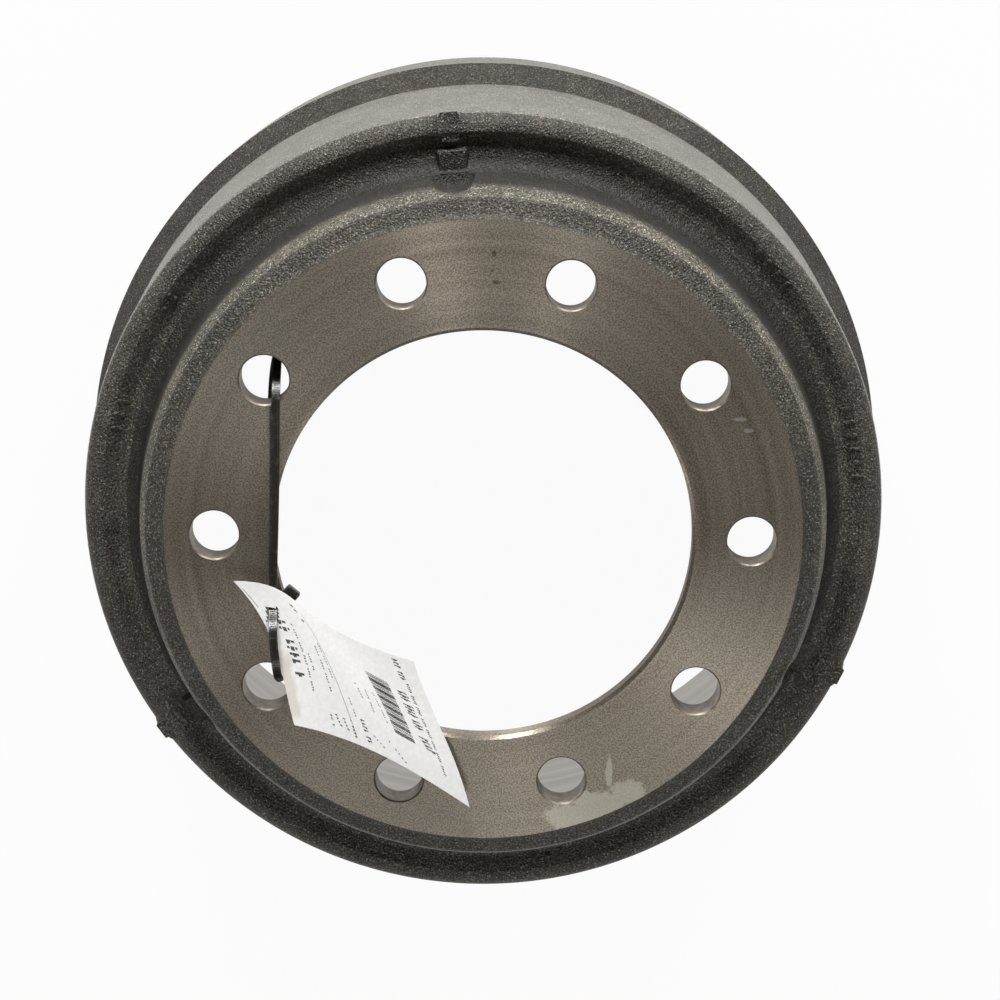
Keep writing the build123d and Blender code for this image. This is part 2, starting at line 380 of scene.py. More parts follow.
def set_surface(tree, surface, **sockets):
    """Sets or links the shader's inputs; an underscore stands for a space in a name."""
    for label, value in sockets.items():
        feed(tree, surface.inputs[label.replace("_", " ")], value)


def spots(tree, place, patches):
    """The strongest of several ragged patches: centre, radius and stretch, in millimetres."""
    total = None
    for x, y, radius, stretch in patches:
        centre = (x * MM, y * MM, 0)
        spot = use_group(tree, RAGGED_SPOT, Place=place, Centre=centre, Radius=radius * MM, Stretch=stretch)
        total = spot[0] if total is None else maths(tree, "MAXIMUM", total, spot[0])
    return total


# ---- finishes, some with painted light or shade in their tone
# Between these depths the raised centre's wall goes from painted light to painted shade towards the valley
WALL_PAINTED_LIGHT_DEPTH = 14 * MM
WALL_PAINTED_SHADE_DEPTH = 27 * MM
IRON_DARK = (0.024, 0.0215, 0.0140, 1)
IRON_PALE = (0.047, 0.0415, 0.0295, 1)
IRON_GREEN = (0.028, 0.031, 0.022, 1)
IRON_RUST = (0.070, 0.042, 0.028, 1)
# Colour of the painted sparkle on glinting grains
IRON_GLINT = (0.22, 0.21, 0.185, 1)


def cast_iron(name, tone=1.0, ior=1.45, painted_shade_tone=None, sheen=0.0):
    """Bare grey iron as it left the sand: dark and grainy, with faint tints.

    Tone scales the colour, which paints light or shade into the barrel's, wall's and flange's copies of the
    iron.
    A foot tone replaces it down the raised centre's wall, as painted shade towards the valley.
    """
    material, tree, surface, place = new_material(name, (0.05, 0.047, 0.041, 1))
    height, glint, blotch = use_group(tree, CAST_SKIN, Place=place, Grain=0.95 * MM)[:3]
    base = tint(tree, blotch, IRON_DARK, IRON_PALE)
    green = fade(tree, grain(tree, place, 35 * MM, 3.0), 0.5, 0.75, 0.0, 0.6)
    base = tint(tree, green, base, IRON_GREEN)
    rust = fade(tree, grain(tree, place, 12 * MM, 5.0, 0.7), 0.60, 0.78, 0.0, 0.7)
    base = tint(tree, rust, base, IRON_RUST)
    # Glinting grains are painted paler: a painted sparkle in the base colour
    base = tint(tree, maths(tree, "MULTIPLY", glint, 0.75), base, IRON_GLINT)
    sand = fade(tree, grain(tree, place, 1.1 * MM, 2.0), 0.36, 0.64, 0.25, 1.75)
    base = tint(tree, 1.0, base, sand, "MULTIPLY")
    scale = (tone, tone, tone, 1)
    if painted_shade_tone is not None:
        level = parts_of(tree, place)[2]
        scale = fade(tree, level, HEIGHT - WALL_PAINTED_SHADE_DEPTH, HEIGHT - WALL_PAINTED_LIGHT_DEPTH, painted_shade_tone, tone)
    base = tint(tree, 1.0, base, scale, "MULTIPLY")
    bump = bumped(tree, height, 1.0, 0.5 * MM)
    rough = fade(tree, glint, 0.0, 1.0, 0.56, 0.42)
    set_surface(tree, surface, Base_Color=base, Roughness=rough, Normal=bump, IOR=ior)
    set_surface(tree, surface, Sheen_Weight=sheen, Sheen_Roughness=0.35, Sheen_Tint=(1.0, 0.97, 0.90, 1))
    return material


# X, Y, radius and stretch of patches on the turned face, in millimetres
PALE_PATCHES = (
    (50, -157, 8, (0.55, 1.0, 0)),
    (66, -150, 8, (0.6, 1.0, 0)),
    (80, -142, 7, (0.7, 1.0, 0)),
    (55, -146, 5, (0.7, 1.0, 0)),
    (70, -131, 4.5, (2.4, 0.5, 0)),
)
PITS = (
    (-8, 174, 1.7, (0.5, 1, 0)),
    (4, 152, 1.2, (1, 0.7, 0)),
    (5, 137, 1.1, (0.6, 1, 0)),
    (3, 143, 0.8, (1, 1, 0)),
)
SCUFFS = (
    (134, 66, 1.8, (0.5, 1.5, 0)),
    (139, 60, 1.4, (0.5, 1.2, 0)),
    (170, -21, 1.1, (0.4, 1.8, 0)),
)
# The patches, how strongly they show, and their colour
TURNED_MARKS = (
    (PALE_PATCHES, 0.5, (0.56, 0.54, 0.46, 1)),
    (SCUFFS, 0.4, (0.72, 0.70, 0.66, 1)),
    (PITS, 0.65, (0.05, 0.042, 0.033, 1)),
)


def turned_colour(tree, place, band):
    """The turned face's brown-grey, with haze, flecks, patches, scuffs and pits."""
    base = tint(tree, fade(tree, band, 0.35, 0.65), (0.197, 0.167, 0.127, 1), (0.290, 0.252, 0.200, 1))
    haze = fade(tree, grain(tree, place, 60 * MM, 2.0), 0.4, 0.7, 0.0, 0.5)
    base = tint(tree, haze, base, (0.240, 0.237, 0.199, 1))
    fleck = fade(tree, grain(tree, place, 0.85 * MM, 2.0), 0.36, 0.64)
    fleck = tint(tree, fleck, (0.118, 0.095, 0.072, 1), (0.396, 0.352, 0.284, 1))
    base = tint(tree, 0.55, base, fleck)
    for patches, strength, colour in TURNED_MARKS:
        base = tint(tree, maths(tree, "MULTIPLY", spots(tree, place, patches), strength), base, colour)
    return base


def turned_iron():
    """Turned iron: fine rings, a brushed sheen round the axis, thin oily blotches."""
    material, tree, surface, place = new_material("turned_iron", (0.32, 0.29, 0.25, 1))
    height, band = use_group(tree, TOOL_RINGS, Place=place, Pitch=0.75 * MM)[:2]
    base = turned_colour(tree, place, band)
    relief = maths(tree, "MULTIPLY_ADD", grain(tree, place, 1.1 * MM, 2.0), 0.35, height)
    bump = bumped(tree, relief, 0.5, 0.06 * MM)
    rough = fade(tree, band, 0.3, 0.7, 0.36, 0.41)
    around = node(tree, "ShaderNodeTangent", direction_type="RADIAL", axis="Z").outputs[0]
    set_surface(tree, surface, Base_Color=base, Roughness=rough, Normal=bump, Tangent=around)
    set_surface(tree, surface, Metallic=0.9, Anisotropic=0.9, Anisotropic_Rotation=0.25)
    return material


def braking_iron():
    """The braking surface: pale, finely turned iron."""
    material, tree, surface, place = new_material("braking_iron", (0.5, 0.49, 0.46, 1))
    height, band = use_group(tree, TOOL_RINGS, Place=place, Pitch=1.2 * MM)[:2]
    base = tint(tree, fade(tree, band, 0.35, 0.65), (0.64, 0.61, 0.56, 1), (0.76, 0.725, 0.67, 1))
    bump = bumped(tree, height, 0.4, 0.05 * MM)
    set_surface(tree, surface, Base_Color=base, Roughness=0.4, Normal=bump, Metallic=0.4)
    return material


def drilled_iron():
    """The walls of the bolt holes: brown, oiled, with fine rings left by the drill."""
    material, tree, surface, place = new_material("drilled_iron", (0.12, 0.09, 0.06, 1))
    height = use_group(tree, TOOL_RINGS, Place=place, Pitch=0.9 * MM)[0]
    stain = fade(tree, grain(tree, place, 5 * MM, 4.0, 0.65), 0.35, 0.7)
    base = tint(tree, stain, (0.125, 0.098, 0.069, 1), (0.25, 0.218, 0.175, 1))
    bump = bumped(tree, height, 0.5, 0.08 * MM)
    set_surface(tree, surface, Base_Color=base, Roughness=0.45, Normal=bump, Metallic=0.6)
    return material


def tie_nylon():
    """Black nylon straight from the mould, with dust and handling marks."""
    material, tree, surface, place = new_material("tie_nylon", (0.02, 0.02, 0.02, 1))
    dust = fade(tree, grain(tree, place, 3 * MM, 4.0, 0.65), 0.5, 0.75)
    base = tint(tree, maths(tree, "MULTIPLY", dust, 0.5), (0.020, 0.018, 0.015, 1), (0.11, 0.095, 0.072, 1))
    height = grain(tree, place, 0.7 * MM)
    bump = bumped(tree, height, 0.3, 0.05 * MM)
    rough = fade(tree, dust, 0.0, 1.0, 0.28, 0.55)
    set_surface(tree, surface, Base_Color=base, Roughness=rough, Normal=bump)
    return material


def card_stain(tree, place):
    """Where the card's creased edge is stained: a ragged strip along part of its side."""
    sheet = node(tree, "ShaderNodeUVMap", uv_map="card").outputs[0]
    share = parts_of(tree, sheet)
    wobble = maths(tree, "MULTIPLY_ADD", grain(tree, place, 14 * MM, 3.0), 0.12, share[0])
    strip = fade(tree, wobble, 0.115, 0.15, 1.0, 0.0)
    start = fade(tree, share[1], 0.45, 0.55)
    end = fade(tree, share[1], 0.9, 0.98, 1.0, 0.0)
    return maths(tree, "MULTIPLY", strip, maths(tree, "MULTIPLY", start, end))


def tag_card():
    """White coated card, a little scuffed, with a tan stain along one edge."""
    material, tree, surface, place = new_material("tag_card", (0.8, 0.8, 0.78, 1))
    fibre = fade(tree, grain(tree, place, 2.5 * MM, 4.0), 0.35, 0.7)
    base = tint(tree, fibre, (0.70, 0.695, 0.68, 1), (0.755, 0.75, 0.735, 1))
    stain = maths(tree, "MULTIPLY", card_stain(tree, place), 0.55)
    base = tint(tree, stain, base, (0.50, 0.44, 0.34, 1))
    height = grain(tree, place, 1.5 * MM, 3.0)
    bump = bumped(tree, height, 0.15, 0.04 * MM)
    rough = fade(tree, fibre, 0.0, 1.0, 0.36, 0.48)
    set_surface(tree, surface, Base_Color=base, Roughness=rough, Normal=bump)
    return material


def tag_ink():
    """Thermal print: thin grey-black ink that breaks up a little."""
    material, tree, surface, place = new_material("tag_ink", (0.1, 0.1, 0.1, 1))
    wear = fade(tree, grain(tree, place, 0.8 * MM, 3.0, 0.7), 0.35, 0.8)
    base = tint(tree, wear, (0.02, 0.02, 0.022, 1), (0.16, 0.16, 0.155, 1))
    set_surface(tree, surface, Base_Color=base, Roughness=0.5)
    return material


# ---- drum
def rounded(corners):
    """The section's outline with its blended corners drawn as arcs."""
    outline = []
    for number, (radius, z, blend) in enumerate(corners):
        here = Vector((radius, z))
        if not blend:
            outline.append(here)
            continue
        before = Vector(corners[number - 1][:2]) - here
        after = Vector(corners[(number + 1) % len(corners)][:2]) - here
        half = before.angle(after) / 2
        centre = here + (before.normalized() + after.normalized()).normalized() * (blend / math.sin(half))
        first = here + before.normalized() * (blend / math.tan(half)) - centre
        last = here + after.normalized() * (blend / math.tan(half)) - centre
        sweep = first.angle_signed(last)
        steps = max(1, math.ceil(abs(sweep) / ARC_STEP))
        for step in range(steps + 1):
            outline.append(centre + Matrix.Rotation(-sweep * step / steps, 2) @ first)
    return outline


def at_depth(radius, depth, blend=0.0):
    """A corner of the section: radius, depth under the mounting face and blend radius."""
    return (radius, HEIGHT - depth, blend)


def drum_section():
    """The section from the pilot bore out over the outside and back up the inside."""
    outside = [at_depth(radius * MM, depth * MM, blend * MM) for radius, depth, blend in OUTSIDE.values()]
    corners = (
        at_depth(PILOT_R, PILOT_LAND),
        at_depth(PILOT_R, PILOT_CHAMFER),
        at_depth(PILOT_R + PILOT_CHAMFER, 0),
        at_depth(FACE_R, 0),
        *outside,
        at_depth(RIM_R, HEIGHT, RIM_BLEND),
        at_depth(BRAKE_R + RIM_CHAMFER, HEIGHT),
        at_depth(BRAKE_R, HEIGHT - RIM_CHAMFER),
        at_depth(BRAKE_R, BRAKE_TOP_DEPTH),
        at_depth(BRAKE_R + GROOVE_SINK, BRAKE_TOP_DEPTH),
        at_depth(BRAKE_R + GROOVE_SINK, BRAKE_TOP_DEPTH - GROOVE_WIDTH, GROOVE_BLEND),
        at_depth(SHELF_R, SHELF_DEPTH, SHELF_BLEND),
        at_depth(ROOF_R, PLATE, ROOF_BLEND),
        at_depth(PILOT_R + PILOT_RELIEF, PLATE),
        at_depth(PILOT_R + PILOT_RELIEF, PILOT_LAND),
    )
    return rounded(corners)


def ring_round(form, radius, z, steps, turn=None):
    """A ring of points about the axis at one radius and height, moved by the turn if given."""
    ring = []
    for step in range(steps):
        angle = 2 * math.pi * step / steps
        place = Vector((radius * math.cos(angle), radius * math.sin(angle), z))
        ring.append(form.verts.new(turn @ place if turn else place))
    return ring


def join_rings(form, rings, others):
    """A band of square faces between each ring and its fellow."""
    for ring, following in zip(rings, others):
        for step in range(len(ring)):
            beside = (step + 1) % len(ring)
            form.faces.new((ring[step], ring[beside], following[beside], following[step]))


def turned_skin(form):
    """The section turned round the axis, as one closed skin."""
    rings = [ring_round(form, point.x, point.y, TURNS) for point in drum_section()]
    join_rings(form, rings, rings[1:] + rings[:1])
    bmesh.ops.recalc_face_normals(form, faces=form.faces)


def spun(form, profile, offset, angle, steps):
    """A closed turned solid from (radius, z) pairs, standing off the axis and turned about it."""
    turn = Matrix.Rotation(angle, 4, "Z") @ Matrix.Translation((offset, 0, 0))
    rings = [ring_round(form, radius, z, steps, turn) for radius, z in profile]
    join_rings(form, rings, rings[1:])
    form.faces.new(reversed(rings[0]))
    form.faces.new(rings[-1])


def drum_cutters(form):
    """The bolt holes with their countersunk edges, and the stations' scallops."""
    hole = (
        (BOLT_R, HEIGHT - 2 * PLATE),
        (BOLT_R, HEIGHT - BOLT_CHAMFER),
        (BOLT_R + 2 * BOLT_CHAMFER, HEIGHT + BOLT_CHAMFER),
    )
    for number in range(BOLT_COUNT):
        spun(form, hole, BOLT_CIRCLE_R, 2 * math.pi * number / BOLT_COUNT, HOLE_STEPS)
    half = SCALLOP_WIDTH / 2
    hook_r = (half**2 + SCALLOP_SINK**2) / (2 * SCALLOP_SINK)
    foot = HEIGHT - SCALLOP_DEPTH
    scallop = [(hook_r - inward, foot + upward) for inward, upward in SCALLOP_RUN_OUT]
    scallop.append((hook_r, HEIGHT + SCALLOP_OVER))
    for angle in STATION_ANGLES:
        spun(form, scallop, SCALLOP_FOOT_R + hook_r, math.radians(angle), SCALLOP_STEPS)
    bmesh.ops.recalc_face_normals(form, faces=form.faces)


def tapered(form, outline, top, bottom, spread, angle):
    """A closed block from an outline at its top that spreads towards its bottom."""
    turn = Matrix.Rotation(angle, 4, "Z")
    middle = sum(outline, Vector((0, 0))) / len(outline)
    upper = [form.verts.new(turn @ Vector((point.x, point.y, top))) for point in outline]
    lower = []
    for point in outline:
        wide = point + (point - middle).normalized() * spread
        lower.append(form.verts.new(turn @ Vector((wide.x, wide.y, bottom))))
    for number in range(len(outline)):
        beside = (number + 1) % len(outline)
        form.faces.new((upper[number], lower[number], lower[beside], upper[beside]))
    crown = form.faces.new(upper)
    form.faces.new(reversed(lower))
    return crown


def rounded_box_outline(low, high, half, blend, steps=5):
    """A rectangle from low to high along X and half a width each side, with round corners."""
    corners = ((high, half, 0), (low, half, 90), (low, -half, 180), (high, -half, 270))
    outline = []
    for x, y, start in corners:
        centre = Vector((x - math.copysign(blend, x - (low + high) / 2), y - math.copysign(blend, y)))
        for step in range(steps + 1):
            angle = math.radians(start + 90 * step / steps)
            outline.append(centre + Vector((math.cos(angle), math.sin(angle))) * blend)
    return outline


def station_block(form, turn, radii, half_width, corner, depths, spread, blend, segments):
    """A block with round corners and a bevelled top, from its two radii to its two depths."""
    outline = rounded_box_outline(*radii, half_width, corner)
    top, foot = (HEIGHT - depth for depth in depths)
    crown = tapered(form, outline, top, foot, spread, turn)
    bevel(form, crown.edges[:], blend, segments)


def station_blocks(form):
    """The pads in the valley and the lugs on the ridge."""
    for angle in STATION_ANGLES:
        station_block(form, math.radians(angle), *PAD)
        station_block(form, math.radians(angle), *LUG)
    bmesh.ops.recalc_face_normals(form, faces=form.faces)


def carve(target, tool, operation):
    """Joins a tool mesh to the target, or cuts it away, and deletes the tool."""
    modifier = target.modifiers.new("carve", "BOOLEAN")
    modifier.object = tool
    modifier.operation = operation
    modifier.solver = "EXACT"
    shaped = final_mesh(target)
    target.modifiers.remove(modifier)
    target.data = shaped
    bpy.data.objects.remove(tool)


# The drum's finishes, by slot; the barrel, centre wall and flange carry painted light or shade
CAST, TURNED, DRILLED, BARREL, CENTRE_WALL, BRAKING, FLANGE = range(7)
NEAR = 0.1 * MM
FAR = 1.0
# Where each finish lies, the first that fits: slot, least and greatest radius and depth
ZONES = (
    (BRAKING, 0, BRAKE_R + 3.5 * MM, BRAKE_TOP_DEPTH, FAR),
    (TURNED, 0, BRAKE_R + 3.5 * MM, BRAKE_TOP_DEPTH - 7 * MM, FAR),
    (TURNED, 0, FACE_R, 0, PLATE + NEAR),
    (TURNED, 0, FACE_R + NEAR, -FAR, 0.5 * MM),
    (BARREL, 219.5 * MM, FAR, 52 * MM, 171 * MM),
    (BARREL, 230 * MM, FAR, 192.5 * MM, HEIGHT),
    (CENTRE_WALL, 180.5 * MM, 196.5 * MM, 6.2 * MM, 55 * MM),
    (FLANGE, 0, FAR, 165 * MM, FAR),
)


def is_drilled(centre):
    """Whether a face lies on the wall or the chamfer of a bolt hole."""
    pitch = 2 * math.pi / BOLT_COUNT
    turn = round(math.atan2(centre.y, centre.x) / pitch) * pitch
    hole = Vector((math.cos(turn), math.sin(turn))) * BOLT_CIRCLE_R
    in_plate = NEAR < HEIGHT - centre.z < PLATE
    return in_plate and (centre.xy - hole).length < BOLT_R + BOLT_CHAMFER


def iron_slot(centre):
    """Which of the drum's iron finishes a face has."""
    if is_drilled(centre):
        return DRILLED
    for slot, inner, outer, top, foot in ZONES:
        if inner < centre.xy.length < outer and top < HEIGHT - centre.z < foot:
            return slot
    return CAST


def iron_finishes(cast):
    """The drum's finishes in slot order; barrel, wall and flange paint light or shade into cast iron."""
    return (
        cast,
        turned_iron(),
        drilled_iron(),
        # the barrel's paler tone is painted light
        cast_iron("cast_barrel_painted_light", tone=2.0, ior=2.0, sheen=0.2),
        # the wall's pale tone is a painted highlight, its foot tone painted shade
        cast_iron("cast_wall_painted_light_and_shade", tone=2.4, ior=1.5, painted_shade_tone=0.4),
        braking_iron(),
        # the flange's darker tone is painted shade
        cast_iron("cast_flange_painted_shade", tone=0.7, ior=1.36),
    )


def drum_casting(cast):
    """The whole casting: turned skin, lifting stations, bolt holes and scallops."""
    drum = new_object("drum_casting", mesh_from("drum_skin", turned_skin))
    carve(drum, new_object("blocks", mesh_from("blocks", station_blocks)), "UNION")
    carve(drum, new_object("cutters", mesh_from("cutters", drum_cutters)), "DIFFERENCE")
    drum.data.materials.clear()
    for finish in iron_finishes(cast):
        drum.data.materials.append(finish)
    for face in drum.data.polygons:
        face.material_index = iron_slot(face.center)
    smooth(drum.data, 32)
    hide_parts("brake_drum")
    return drum


def raise_mark(form, turn, radius, low, high, half):
    """One drafted block on the ridge's inner slope, in millimetres."""
    valley_r, valley_depth, _ = OUTSIDE["valley"]
    crest_r, crest_depth, _ = OUTSIDE["crest"]
    slope = math.atan2(valley_depth - crest_depth, crest_r - valley_r)
    depth = valley_depth - (radius - valley_r) * math.tan(slope)
    outline = rounded_box_outline(low * MM, high * MM, half * MM, MARK_CORNER * half * MM, 4)
    first = len(form.verts)
    crown = tapered(form, outline, MARK_TOP, MARK_FOOT, MARK_SPREAD, 0)
    bevel(form, crown.edges[:], MARK_BEVEL, 2)
    place = Matrix.Translation((radius * MM, 0, HEIGHT - depth * MM)) @ Matrix.Rotation(-slope, 4, "Y")
    form.verts.ensure_lookup_table()
    for vertex in form.verts[first:]:
        vertex.co = Matrix.Rotation(turn, 4, "Z") @ place @ vertex.co


def raise_marks(form):
    for angle, radius, row in FOUNDRY_MARKS:
        for number, mark in enumerate(row):
            turn = math.radians(angle + ((len(row) - 1) / 2 - number) * MARK_PITCH)
            for low, high, half in MARK_BLOCKS[mark]:
                raise_mark(form, turn, radius, low, high, half)
    bmesh.ops.recalc_face_normals(form, faces=form.faces)


def foundry_marks(cast):
    """Plain raised bars and dots that the pattern leaves on the ridge's inner slope."""
    marks = new_object("foundry_marks", mesh_from("foundry_marks", raise_marks), cast)
    smooth(marks.data, 50)
    return marks


# ---- cable tie
def strap_line():
    """Points along the strap's centre line, from one smooth spline over the route."""
    curve = bpy.data.curves.new("strap_route", "CURVE")
    curve.dimensions = "3D"
    curve.resolution_u = ROUTE_STEPS
    spline = curve.splines.new("NURBS")
    spline.points.add(len(STRAP_ROUTE) - 1)
    for point, stop in zip(spline.points, STRAP_ROUTE):
        point.co = (*held_at(*stop), 1)
    spline.order_u = 3
    spline.use_endpoint_u = True
    route = new_object("strap_route", curve)
    points = [vertex.co.copy() for vertex in final_mesh(route).vertices]
    bpy.data.objects.remove(route)
    return points


def strap_frames(points, spacing):
    """Even places along the line, each with directions along, across and out of the strap."""
    across = Vector((math.cos(STRAP_LEAN), math.sin(STRAP_LEAN), 0))
    frames = []
    left_over = 0.0
    for here, there in zip(points, points[1:]):
        along = (there - here).normalized()
        across = (across - along * across.dot(along)).normalized()
        length = (there - here).length
        reach = left_over
        while reach < length:
            frames.append((here + along * reach, along, across, along.cross(across)))
            reach += spacing
        left_over = reach - length
    return frames


def strap_body(form, frames):
    """The strap's I section swept along its frames: two rails with a channel between."""
    half, thick = STRAP_WIDTH / 2, STRAP_THICK / 2
    inner, floor = half - RAIL_WIDTH, thick - CHANNEL_DEPTH
    edge = STRAP_EDGE
    section = (
        (-half, thick - edge),
        (-half + edge, thick),
        (-inner, thick),
        (-inner + edge, floor),
        (inner - edge, floor),
        (inner, thick),
        (half - edge, thick),
        (half, thick - edge),
        (half, -thick + edge),
        (half - edge, -thick),
        (-half + edge, -thick),
        (-half, -thick + edge),
    )
    rings = []
    for place, along, across, out in frames:
        rings.append([form.verts.new(place + across * x + out * y) for x, y in section])
    for ring, following in zip(rings, rings[1:]):
        for number in range(len(section)):
            beside = (number + 1) % len(section)
            form.faces.new((ring[number], ring[beside], following[beside], following[number]))
    form.faces.new(reversed(rings[0]))
    form.faces.new(rings[-1])
    bmesh.ops.recalc_face_normals(form, faces=form.faces)


def tooth_wedge(tree, width, length, rise):
    """Geometry nodes: a block whose upper side leans back along its length."""
    size = node(tree, "ShaderNodeCombineXYZ", {"X": width, "Y": length, "Z": rise}).outputs[0]
    block = node(tree, "GeometryNodeMeshCube", {"Size": size}).outputs["Mesh"]
    place = node(tree, "GeometryNodeInputPosition").outputs[0]
    parts = parts_of(tree, place)
    upper = maths(tree, "GREATER_THAN", parts[2], 0.0)
    lean = maths(tree, "MULTIPLY", maths(tree, "MULTIPLY", upper, parts[1]), -TOOTH_LEAN)
    shift = node(tree, "ShaderNodeCombineXYZ", {"Y": lean}).outputs[0]
    return node(tree, "GeometryNodeSetPosition", {"Geometry": block, "Offset": shift}).outputs[0]


def tooth_tree():
    """Geometry nodes: one small wedge at each point, turned as its point says."""
    tree = bpy.data.node_groups.new("strap teeth", "GeometryNodeTree")
    tree.interface.new_socket("Points", in_out="INPUT", socket_type="NodeSocketGeometry")
    sizes = (("Width", STRAP_WIDTH - 2 * RAIL_WIDTH), ("Length", TOOTH_LENGTH), ("Rise", CHANNEL_DEPTH))
    for label, default in sizes:
        socket = tree.interface.new_socket(label, in_out="INPUT", socket_type="NodeSocketFloat")
        socket.default_value = default
    tree.interface.new_socket("Nylon", in_out="INPUT", socket_type="NodeSocketMaterial")
    tree.interface.new_socket("Teeth", in_out="OUTPUT", socket_type="NodeSocketGeometry")
    given, result = tree.nodes.new("NodeGroupInput").outputs, tree.nodes.new("NodeGroupOutput")
    wedge = tooth_wedge(tree, given["Width"], given["Length"], given["Rise"])
    turn = node(tree, "GeometryNodeInputNamedAttribute", {"Name": "turn"}, data_type="FLOAT_VECTOR")
    at_points = {"Points": given["Points"], "Instance": wedge, "Rotation": turn.outputs["Attribute"]}
    spread = node(tree, "GeometryNodeInstanceOnPoints", at_points).outputs[0]
    real = node(tree, "GeometryNodeRealizeInstances", {"Geometry": spread}).outputs[0]
    coated = node(tree, "GeometryNodeSetMaterial", {"Geometry": real, "Material": given["Nylon"]}).outputs[0]
    tree.links.new(coated, result.inputs["Teeth"])
    return tree


def strap_teeth(frames, nylon):
    """The ladder of teeth in the strap's channel."""
    mesh = bpy.data.meshes.new("tooth_places")
    lift = STRAP_THICK / 2 - CHANNEL_DEPTH / 2 - TOOTH_SINK
    mesh.from_pydata([place + out * lift for place, along, across, out in frames], [], [])
    turns = mesh.attributes.new("turn", "FLOAT_VECTOR", "POINT")
    for number, (place, along, across, out) in enumerate(frames):
        turns.data[number].vector = Matrix((across, along, across.cross(along))).transposed().to_euler()
    places = new_object("tooth_places", mesh)
    modifier = places.modifiers.new("teeth", "NODES")
    modifier.node_group = tooth_tree()
    for item in modifier.node_group.interface.items_tree:
        if item.item_type == "SOCKET" and item.in_out == "INPUT" and item.name == "Nylon":
            modifier[item.identifier] = nylon
    teeth = final_mesh(places)
    bpy.data.objects.remove(places)
    return new_object("tie_teeth", teeth)


def tie_head(form):
    """The head's rounded block, where both ends of the strap meet."""
    bmesh.ops.create_cube(form, size=1.0)
    bmesh.ops.scale(form, vec=HEAD_SIZE, verts=form.verts)
    bevel(form, form.edges[:], HEAD_BLEND, 4)
    place = Matrix.Translation(held_at(*STRAP_ROUTE[0])) @ Matrix.Rotation(HEAD_TURN, 4, "Z")
    bmesh.ops.transform(form, matrix=place, verts=form.verts)


def cable_tie(nylon):
    """The tie's strap, the teeth along it and its head."""
    line = strap_line()
    frames = strap_frames(line, STRAP_STEP)
    body = mesh_from("tie_strap", lambda form: strap_body(form, frames))
    strap = new_object("tie_strap", body, nylon)
    smooth(strap.data, 30)
    teeth = strap_teeth(strap_frames(line, TOOTH_PITCH), nylon)
    head = new_object("tie_head", mesh_from("tie_head", tie_head), nylon)
    smooth(head.data, 40)
    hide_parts("cable_tie")
    return strap, teeth, head


# ---- hang tag
def tag_net():
    """The card's 4 by 4 control points, the inner four blended from its edges."""

    def edge(name):
        ends = (TAG_CORNERS[name[0]], *TAG_HANDLES[name], TAG_CORNERS[name[1]])
        return [held_at("bore", *point) for point in ends]

    top, bottom, left, right = edge("AB"), edge("DC"), edge("AD"), edge("BC")
    net = [[None] * 4 for _ in range(4)]
    for number in range(4):
        net[number][0], net[number][3] = top[number], bottom[number]
        net[0][number], net[3][number] = left[number], right[number]
    for i in (1, 2):
        for j in (1, 2):
            across = net[0][j].lerp(net[3][j], i / 3)
            down = net[i][0].lerp(net[i][3], j / 3)
            flat = net[0][0].lerp(net[3][0], i / 3).lerp(net[0][3].lerp(net[3][3], i / 3), j / 3)
            net[i][j] = across + down - flat
    return net


def bernstein(t):
    """The four weights of a cubic Bezier curve."""
    s = 1 - t
    return (s**3, 3 * s * s * t, 3 * s * t * t, t**3)


def on_card(net, u, v):
    """A point on the card's lower face."""
    weights = [[a * b for b in bernstein(v)] for a in bernstein(u)]
    total = Vector((0, 0, 0))
    for row, row_weights in zip(net, weights):
        for point, weight in zip(row, row_weights):
            total += point * weight
    return total


def in_slot(point):
    """Whether a point of the card lies over the strap's slot."""
    centre = held_at("bore", *SLOT_PLACE)
    return abs(point.x - centre.x) < SLOT_SIZE[0] / 2 and abs(point.y - centre.y) < SLOT_SIZE[1] / 2


def card_sheet(form, net, sheet):
    """The card's lower face in small cells, without those of the slot."""
    marks = {}
    for i in range(CARD_CELLS + 1):
        for j in range(CARD_CELLS + 1):
            marks[i, j] = form.verts.new(on_card(net, i / CARD_CELLS, j / CARD_CELLS))
    for i in range(CARD_CELLS):
        for j in range(CARD_CELLS):
            cell = ((i, j), (i + 1, j), (i + 1, j + 1), (i, j + 1))
            middle = sum((marks[key].co for key in cell), Vector((0, 0, 0))) / 4
            if in_slot(middle):
                continue
            face = form.faces.new([marks[key] for key in cell])
            for loop, key in zip(face.loops, cell):
                loop[sheet].uv = (key[0] / CARD_CELLS, key[1] / CARD_CELLS)
    loose = [vertex for vertex in form.verts if not vertex.link_faces]
    bmesh.ops.delete(form, geom=loose, context="VERTS")


def thicken_card(form, sheet):
    """Copies the lower face upwards, and walls the card's edges and the slot's."""
    lower = {vertex for face in form.faces for vertex in face.verts}
    everything = form.verts[:] + form.edges[:] + form.faces[:]
    above = bmesh.ops.duplicate(form, geom=everything)["vert_map"]
    rims = [edge for edge in form.edges if edge.is_boundary and edge.verts[0] in lower]
    for vertex in lower:
        above[vertex].co = vertex.co + Vector((0, 0, CARD_THICK))
    for edge in rims:
        first, second = edge.verts
        uv = {loop.vert: loop[sheet].uv.copy() for loop in edge.link_faces[0].loops}
        wall = form.faces.new((first, second, above[second], above[first]))
        for loop in wall.loops:
            below = first if loop.vert in (first, above[first]) else second
            loop[sheet].uv = uv[below]


def hang_tag(net, card):
    """The curled card and its thickness."""

    def build(form):
        sheet = form.loops.layers.uv.new("card")
        card_sheet(form, net, sheet)
        thicken_card(form, sheet)
        bmesh.ops.recalc_face_normals(form, faces=form.faces)

    tag = new_object("tag_card", mesh_from("tag_card", build), card)
    smooth(tag.data, 40)
    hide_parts("hang_tag")
    return tag


